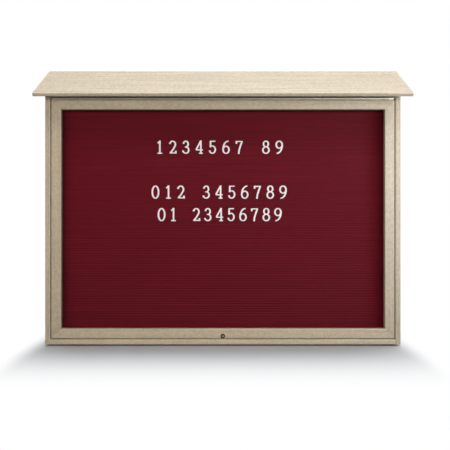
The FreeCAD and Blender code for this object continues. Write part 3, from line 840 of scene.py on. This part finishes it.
class Hinge(bpy.types.Operator):
    """Continuous hinge with round interleaved knuckles"""

    bl_idname = "notice_board.hinge"
    bl_label = "Continuous hinge"

    def execute(self, context):
        pin_low, pin_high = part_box("hinge_pin")
        self.axis = (pin_low + pin_high) / 2
        self.leaf("fixed_hinge_leaf", 1)
        self.leaf("door_hinge_leaf", -1)
        self.pin(pin_low, pin_high)
        return {"FINISHED"}

    def leaf(self, node, side):
        """One leaf: a long flat strip and every second knuckle."""
        sides = look().hardware.knuckle_sides
        low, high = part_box(node)
        outer = high.z - self.axis.z if side > 0 else self.axis.z - low.z
        thick, barrel, bore = 1.2 * MM, 2.95 * MM, 1.3 * MM
        start, depth = 4.0 * MM, high.y - self.axis.y
        pitch, space = 13.66 * MM, 0.3 * MM
        count = (KNUCKLES + side) // 2
        first = -KNUCKLES * pitch / 2 + (0 if side > 0 else pitch) + space / 2
        bend, fit, relief = math.radians(48.0), 0.98, 0.25 * MM
        turns = [math.radians(70.0 + 320.0 * index / sides) for index in range(sides + 1)]
        rolled = [(start, outer - thick), (start, outer)]
        rolled += [(barrel * math.cos(turn), barrel * math.sin(turn)) for turn in turns]
        rolled += [(bore * math.cos(turn), bore * math.sin(turn)) for turn in reversed(turns)]
        rolled.append((barrel * math.cos(bend) * fit, outer - thick - relief))
        knuckle = self.drawn(rolled, side, first, pitch - space)
        apply_modifier(
            knuckle, "ARRAY", count=count, use_relative_offset=False, use_constant_offset=True,
            constant_offset_displace=(2 * pitch, 0, 0),
        )
        flat = ((start, outer - thick), (depth, outer - thick), (depth, outer), (start, outer))
        strip = self.drawn(flat, side, low.x, high.x - low.x)
        stand_in(join([knuckle, strip]), node, "rolled", "mill_steel", "hinge_steel")
        facing = DOWN if side > 0 else UP
        level = self.axis.z + side * (outer - thick)
        middle = self.axis.y + (start + depth) / 2
        inset = 30.0 * MM
        places = spaced((low.x + inset, middle, level), (high.x - inset, middle, level), 13)
        drive(f"{node}_screws", BODY_OF[node], places, facing, 2.6 * MM, 0.3 * MM)

    def drawn(self, outline, side, start, reach):
        """Solid along X, with its outline given as pairs about the hinge's axis."""
        axis = self.axis
        points = [Vector((start, axis.y + across, axis.z + side * rise)) for across, rise in outline]
        return prism(points, (reach, 0, 0))

    def pin(self, low, high):
        """Pin with rounded ends."""
        radius = (high.z - low.z) / 2
        reach = (high.x - low.x) / 2
        piece = turned(self.axis, RIGHTWARDS, UP, [
            (0, -reach), (0.7 * radius, 0.25 * radius - reach), (radius, 0.8 * radius - reach),
            (radius, reach - 0.8 * radius), (0.7 * radius, reach - 0.25 * radius), (0, reach),
        ], 16)
        stand_in(piece, "hinge_pin", "rounded", "mill_steel", "hinge_steel")


class LetterBoard(bpy.types.Operator):
    """Grooved letter board with rounded ribs"""

    bl_idname = "notice_board.letter_board"
    bl_label = "Letter board"

    def execute(self, context):
        eased("letter_board", "burgundy_cloth", "letter_board_vinyl", 0.45 * MM, 2)
        return {"FINISHED"}


def arc(middle_x, middle_y, reach_x, reach_y, start, end, steps=20):
    """Points on part of an oval, with angles in degrees."""
    turns = [math.radians(start + (end - start) * index / steps) for index in range(steps + 1)]
    return [(middle_x + reach_x * math.cos(turn), middle_y + reach_y * math.sin(turn)) for turn in turns]


DIGITS = {
    "0": [arc(0.50, 0.50, 0.40, 0.455, 0, 360, 40)],
    "1": [
        [(0.54, 0.0), (0.54, 1.0)], [(0.54, 0.955), (0.42, 0.88), (0.26, 0.80)],
        [(0.24, 0.05), (0.84, 0.05)],
    ],
    "2": [
        arc(0.47, 0.71, 0.35, 0.245, 168, -28) + [(0.62, 0.42), (0.42, 0.24), (0.19, 0.09)],
        [(0.10, 0.07), (0.92, 0.07)], [(0.88, 0.02), (0.88, 0.23)], [(0.13, 0.74), (0.13, 0.84)],
    ],
    "3": [
        arc(0.46, 0.735, 0.30, 0.22, 155, -90), arc(0.46, 0.285, 0.37, 0.235, 90, -158),
        [(0.18, 0.76), (0.18, 0.86)], [(0.11, 0.14), (0.11, 0.25)], [(0.34, 0.515), (0.48, 0.515)],
    ],
    "4": [
        [(0.68, 0.0), (0.68, 1.0)], [(0.66, 0.96), (0.08, 0.32)],
        [(0.05, 0.30), (0.95, 0.30)], [(0.44, 0.05), (0.92, 0.05)],
    ],
    "5": [
        [(0.20, 0.945), (0.83, 0.945)], [(0.23, 0.97), (0.20, 0.50)],
        arc(0.45, 0.325, 0.38, 0.275, 130, -155), [(0.12, 0.16), (0.12, 0.26)],
    ],
    "6": [arc(0.50, 0.31, 0.38, 0.265, 0, 360, 36), arc(0.80, 0.33, 0.68, 0.625, 182, 88, 16)],
    "7": [
        [(0.10, 0.93), (0.90, 0.93)], [(0.87, 0.95), (0.64, 0.60), (0.48, 0.28), (0.42, 0.0)],
        [(0.13, 0.76), (0.13, 0.97)],
    ],
    "8": [arc(0.50, 0.745, 0.31, 0.212, 0, 360, 32), arc(0.50, 0.285, 0.385, 0.24, 0, 360, 36)],
    "9": [arc(0.50, 0.69, 0.38, 0.265, 0, 360, 36), arc(0.20, 0.67, 0.68, 0.625, 2, -92, 16)],
}


class Digits(bpy.types.Operator):
    """Rows of loose serif digits on the grooved board"""

    bl_idname = "notice_board.digits"
    bl_label = "Loose digits"

    def execute(self, context):
        board_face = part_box("letter_board")[0].y
        settings = context.scene.notice_board.letters
        rows = (
            (settings.row_one, -259.7 * MM, 233.2 * MM, 234.8 * MM),
            (settings.row_two, -275.4 * MM, 247.8 * MM, 63.4 * MM),
            (settings.row_three, -252.0 * MM, 228.3 * MM, -22.5 * MM),
        )
        models = {}
        for row, (line, left, right, base) in enumerate(rows, 1):
            pitch = (right - left - settings.width) / (len(line) - 1)
            for index, digit in enumerate(line):
                if digit == " ":
                    continue
                if digit not in models:
                    models[digit] = self.model(digit, settings)
                copy = twin(models[digit], f"row_{row}_digit_{index + 1}")
                copy.location = (left + index * pitch, board_face, base)
                settle(copy)
                dress(copy, "digit_plastic", "cabinet", "letter_board_vinyl")
        for model in models.values():
            bpy.data.objects.remove(model)
        return {"FINISHED"}

    def model(self, digit, settings):
        """One digit at the origin, its strokes united."""
        first, *others = [self.stroke(points, settings) for points in DIGITS[digit]]
        combine(first, others, "UNION")
        clean(first)
        smooth(first)
        return first

    def stroke(self, points, settings):
        """Band along a line of points, thick where it runs upright and thin where it runs level."""
        inset, swell = settings.stem / 2, 1.3
        spots = [
            Vector((inset + x * (settings.width - 2 * inset), 0, z * settings.height)) for x, z in points
        ]
        closed = (spots[0] - spots[-1]).length < MERGE
        count = len(spots)
        deselect()
        bpy.ops.mesh.primitive_grid_add(x_subdivisions=count - 1, y_subdivisions=1, size=1.0)
        band = bpy.context.object
        for place, spot in enumerate(spots):
            before = spots[place - 1] if place else spots[-2] if closed else spot
            after = spots[place + 1] if place < count - 1 else spots[1] if closed else spot
            course = (after - before).normalized()
            sideways = Vector((-course.z, 0, course.x))
            width = settings.hair + (settings.stem - settings.hair) * abs(course.z) ** swell
            band.data.vertices[place].co = spot - sideways * width / 2
            band.data.vertices[count + place].co = spot + sideways * width / 2
        open_mesh(band)
        select_mesh()
        bpy.ops.mesh.remove_doubles(threshold=MERGE)
        bpy.ops.mesh.extrude_region_move(TRANSFORM_OT_translate={"value": (0, -settings.thick, 0)})
        close_solid()
        return band


class Lock(bpy.types.Operator):
    """Cam lock with its ring, plug, nut and cam, and the strike angle"""

    bl_idname = "notice_board.lock"
    bl_label = "Cam lock"

    def execute(self, context):
        low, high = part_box("lock_housing")
        centre = Vector(((low.x + high.x) / 2, FRONT_Y, (low.z + high.z) / 2))
        flange, radius = FRONT_Y - low.y, (high.x - low.x) / 2
        barrel_end = high.y - FRONT_Y
        barrel, bore = 6.35 * MM, 4.85 * MM
        ring = turned(centre, BACKWARDS, UP, [
            (bore, -0.72 * flange), (bore + 0.5 * MM, -0.98 * flange), (radius * 0.74, -flange),
            (radius * 0.90, -0.86 * flange), (radius * 0.975, -0.5 * flange), (radius, -0.1 * flange),
            (radius, 0), (barrel, 0), (barrel, barrel_end), (bore, barrel_end), (bore, -0.72 * flange),
        ], 64)
        stand_in(ring, "lock_housing", "turned", "lock_ring", "lock_chrome", LOCK_SHARP)
        self.plug(centre)
        for node, edge in (("lock_nut", 0.3 * MM), ("lock_cam", 0.25 * MM), ("cam_screw", 0.2 * MM)):
            eased(node, "zinc_plate", "zinc_steel", edge, 2)
        self.strike()
        return {"FINISHED"}

    def plug(self, centre):
        """Plug with a dished face and the slot for the key."""
        low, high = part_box("lock_plug")
        front, back, radius = low.y - centre.y, high.y - centre.y, (high.x - low.x) / 2
        plug = turned(centre, BACKWARDS, UP, [
            (0, front + 0.25 * MM), (radius * 0.62, front + 0.22 * MM), (radius * 0.74, front),
            (radius * 0.9, front + 0.05 * MM), (radius, front + 0.4 * MM), (radius, back), (0, back),
        ])
        key_slot = (1.6 * MM, 8.0 * MM, 6.4 * MM)
        combine(plug, [block((centre.x, low.y, centre.z), key_slot)])
        stand_in(plug, "lock_plug", "turned", "lock_plug", "lock_chrome", LOCK_SHARP)

    def strike(self):
        """Strike angle with two flush screws."""
        eased("strike_angle", "dull_plate", "zinc_steel", 0.4 * MM, 2)
        low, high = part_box("strike_angle")
        plate, inset = 1.5 * MM, 10.0 * MM
        across = (low.y + high.y) / 2 - plate
        places = [(end, across, low.z + plate) for end in (low.x + inset, high.x - inset)]
        drive("strike_screws", "cabinet", places, UP, 3.0 * MM, 0.35 * MM)


class Seals(bpy.types.Operator):
    """Soft seals on the faces of the door stops"""

    bl_idname = "notice_board.seals"
    bl_label = "Weather seals"

    def execute(self, context):
        for node in ("left_seal", "right_seal", "bottom_seals"):
            eased(node, "foam_rubber", "seal_rubber", 0.9 * MM, 3)
        return {"FINISHED"}


class Struts(bpy.types.Operator):
    """Gas struts with their anchors and brackets"""

    bl_idname = "notice_board.struts"
    bl_label = "Gas struts"

    def execute(self, context):
        for name, side in (("left", -1), ("right", 1)):
            self.tube(name)
            for kind in ("anchor", "bracket"):
                eased(f"{name}_strut_{kind}", "zinc_plate", "zinc_steel", 0.4 * MM, 2)
            self.screws(name, side)
        return {"FINISHED"}

    def tube(self, name):
        """Painted cylinder and bright rod, along the line between their eyes."""
        joints = {joint["name"]: joint for joint in frame["joints"]}
        pivot = Vector(joints[f"{name}_strut_tilt"]["pos_m"])
        along = Vector(joints[f"{name}_strut_slide"]["axis"]).normalized()
        radius, eye_half, eye_to_eye = 7.5, 4.5, 236.54
        across = along.cross(RIGHTWARDS).normalized()
        tube = turned(pivot, along, across, in_mm(
            (0, 6.0), (3.5, 6.0), (3.5, 10.5), (5.0, 11.5), (5.0, 13.0), (radius - 0.8, 14.2),
            (radius, 15.6), (radius, 155.0), (radius - 0.5, 155.6), (radius - 0.5, 157.0),
            (radius - 0.1, 157.6), (radius - 0.8, 159.6), (3.2, 160.0), (3.2, 100.0), (0, 100.0),
        ))
        eye = turned(pivot, RIGHTWARDS, across, in_mm(
            (4.05, -eye_half), (6.7, -eye_half), (7.5, 0.8 - eye_half), (7.5, eye_half - 0.8),
            (6.7, eye_half), (4.05, eye_half), (4.05, -eye_half),
        ))
        stand_in(join([tube, eye]), f"{name}_strut_cylinder", "turned", "black_paint", "strut_paint")
        rod = turned(pivot, along, across, in_mm(
            (0, 80.0), (3.0, 80.0), (3.0, eye_to_eye - 12.0), (4.0, eye_to_eye - 12.0),
            (4.0, eye_to_eye - 3.0), (0, eye_to_eye - 3.0),
        ), 32)
        rod_eye = turned(pivot + along * eye_to_eye * MM, RIGHTWARDS, across, in_mm(
            (0, -3.5), (5.4, -3.5), (6.0, -2.9), (6.0, 2.9), (5.4, 3.5), (0, 3.5),
        ))
        stand_in(join([rod, rod_eye]), f"{name}_strut_rod", "turned", "bright_rod", "rod_chrome")

    def screws(self, name, side):
        """Two screws in each anchor and each bracket."""
        plate, inset = 2.0 * MM, 6.0 * MM
        low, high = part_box(f"{name}_strut_anchor")
        face = high.x - plate if side > 0 else low.x + plate
        middle = (low.y + high.y) / 2
        ends = [(face, middle, low.z + inset), (face, middle, high.z - inset)]
        drive(f"{name}_anchor_screws", "cabinet", ends, -side * RIGHTWARDS, 2.8 * MM, 0.8 * MM)
        low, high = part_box(f"{name}_strut_bracket")
        across = low.x + inset if side > 0 else high.x - inset
        face = low.y + plate
        ends = [(across, face, low.z + inset), (across, face, high.z - inset)]
        drive(f"{name}_bracket_screws", "door", ends, BACKWARDS, 2.8 * MM, 0.8 * MM)


class Stage(bpy.types.Operator):
    """White floor, soft light and the camera"""

    bl_idname = "notice_board.stage"
    bl_label = "Stage"

    def execute(self, context):
        settings = context.scene.notice_board.stage
        floor_level = CAD_BOUNDS[0][2]
        self.floor(settings, floor_level)
        self.camera(settings, floor_level)
        self.lamps(settings)
        self.world(settings)
        context.scene.view_settings.view_transform = "Standard"
        return {"FINISHED"}

    def floor(self, settings, level):
        """Large pale floor that turns white a step away from the cabinet."""
        width, gap = 60.0, 6.0 * MM
        deselect()
        bpy.ops.mesh.primitive_plane_add(size=width, location=(0, 0, level - gap))
        floor = bpy.context.object
        floor.name = "floor"
        settle(floor)
        paint = Paint("floor")
        plain = paint.node("ShaderNodeBsdfDiffuse", None, {"Color": rgba(settings.bounce)})
        near = paint.node("ShaderNodeBsdfDiffuse", None, {"Color": rgba(settings.floor)})
        away = paint.node("ShaderNodeEmission", None, {"Color": WHITE})
        pale = paint.mix(self.clearance(paint), near, away)
        floor.data.materials.append(paint.output(paint.mix(paint.seen(), plain, pale)))

    def clearance(self, paint):
        """Share of plain white, from none at the cabinet to all a step away, and sooner at its sides."""
        point = paint.place()
        # The floor's white glow is painted light. It trims the cabinet's cast shadow to a step around it, shorter
        # at its sides and leaning a little to the left.
        overhang, lean, steeper, step = 0.04, 0.01, 5.5, 0.54
        half_width, half_depth = CAD_BOUNDS[1][0] - overhang, -FRONT_Y / 2
        beside = (self.axis(paint, point, "X") + lean).unsigned() - half_width
        before = (self.axis(paint, point, "Y") + half_depth).unsigned() - half_depth
        legs = {"X": steeper * beside.at_least(0.0), "Y": before.at_least(0.0)}
        return paint.grains(paint.length(paint.node("ShaderNodeCombineXYZ", None, legs)), 0.0, step)

    def axis(self, paint, point, name):
        """One coordinate of a point."""
        return paint.node("ShaderNodeSeparateXYZ", None, {"Vector": point}, output=name)

    def camera(self, settings, level):
        """Camera square to the door, where the photographer stood."""
        bpy.ops.object.camera_add(
            location=(0, FRONT_Y - settings.distance, level + settings.height),
            rotation=(math.pi / 2, 0, 0),
        )
        camera = bpy.context.object
        camera.data.lens = settings.lens
        camera.data.sensor_width = 36.0
        camera.data.shift_x = settings.shift_x
        camera.data.shift_y = settings.shift_y
        camera.data.clip_start = 0.05
        camera.data.clip_end = 200.0
        bpy.context.scene.camera = camera

    def lamps(self, settings):
        """Soft light from above, flat lamps all round, and a panel that shows only as sheen."""
        tilt = (math.radians(-9.0), math.radians(3.0), 0)
        bpy.ops.object.light_add(type="SUN", location=(0, 1, 3), rotation=tilt)
        sky = bpy.context.object
        sky.name = "sky_light"
        sky.data.energy = settings.sky
        sky.data.angle = math.radians(32.0)
        sky.data.color = (0.88, 0.93, 1.0)
        self.lamp((0.0, -2.9, 0.25), (0.0, -0.1, 0.1), settings.front, (3.8, 0.6), 95.0)
        self.lamp((0.0, 3.0, 0.9), (0.0, 0.0, 0.0), settings.rear, (3.0, 1.0), 110.0)
        for way in (-1, 1):
            place, aim = (2.6 * way, 0.6, 0.06), (0.66 * way, -0.06, 0.06)
            side = self.lamp(place, aim, settings.side, (0.3, 1.0), 30.0)
            side.visible_glossy = False
        self.lamp((1.25, -0.9, 0.42), (0.4, -0.1, 0.1), settings.key, (0.3, 0.3), 120.0)
        self.lamp((0.1, -1.4, 1.8), (0.0, -0.1, 0.0), settings.high, (1.6, 0.5), 150.0)
        panel = self.lamp((1.35, -1.3, 0.35), (0.5, -0.1, 0.1), settings.sheen, (0.8, 0.9), 170.0)
        panel.visible_diffuse = False

    def lamp(self, place, aim, power, sizes, spread):
        """Flat lamp that faces a point."""
        place, aim = Vector(place), Vector(aim)
        bpy.ops.object.light_add(type="AREA", location=place)
        lamp = bpy.context.object
        lamp.rotation_mode = "QUATERNION"
        lamp.rotation_quaternion = (place - aim).to_track_quat("Z", "Y")
        lamp.data.energy = power
        lamp.data.shape = "RECTANGLE"
        lamp.data.size, lamp.data.size_y = sizes
        lamp.data.spread = math.radians(spread)
        lamp.data.color = (0.93, 0.97, 1.0)
        lamp.visible_camera = False
        return lamp

    def world(self, settings):
        """Even light from all round that shows as white."""
        paint = Paint("studio", "worlds")
        seen = paint.seen().at_least(paint.node("ShaderNodeLightPath", output="Is Transmission Ray"))
        light = paint.node("ShaderNodeBackground", None, {
            "Color": rgba(settings.air), "Strength": settings.fill,
        })
        white = paint.node("ShaderNodeBackground", None, {"Color": WHITE})
        bpy.context.scene.world = paint.output(paint.mix(seen, light, white), "World")


PIECES = (Boards, Door, Hinge, LetterBoard, Digits, Lock, Seals, Struts)


class NoticeBoardPanel(bpy.types.Panel):
    """Sidebar panel with a button for each group of pieces"""

    bl_idname = "VIEW3D_PT_notice_board"
    bl_label = "Notice board"
    bl_space_type = "VIEW_3D"
    bl_region_type = "UI"
    bl_category = "Notice board"

    def draw(self, context):
        for piece in (*PIECES, Stage):
            self.layout.operator(piece.bl_idname)
        board = context.scene.notice_board
        for group in (board.lumber, board.letters, board.hardware, board.stage):
            box = self.layout.box()
            for word in group.bl_rna.properties.keys():
                if word not in ("rna_type", "name"):
                    box.prop(group, word)


CLASSES = (
    LumberLook, LetterLook, HardwareLook, StageLook, NoticeBoard, *PIECES, Stage, NoticeBoardPanel,
)


def register():
    for kind in CLASSES:
        bpy.utils.register_class(kind)
    bpy.types.Scene.notice_board = PointerProperty(type=NoticeBoard)


def unregister():
    del bpy.types.Scene.notice_board
    for kind in reversed(CLASSES):
        bpy.utils.unregister_class(kind)


def main():
    """Make every piece in order."""
    register()
    bpy.ops.notice_board.boards()
    bpy.ops.notice_board.door()
    bpy.ops.notice_board.hinge()
    bpy.ops.notice_board.letter_board()
    bpy.ops.notice_board.digits()
    bpy.ops.notice_board.lock()
    bpy.ops.notice_board.seals()
    bpy.ops.notice_board.struts()
    bpy.ops.notice_board.stage()


if __name__ == "__main__":
    main()
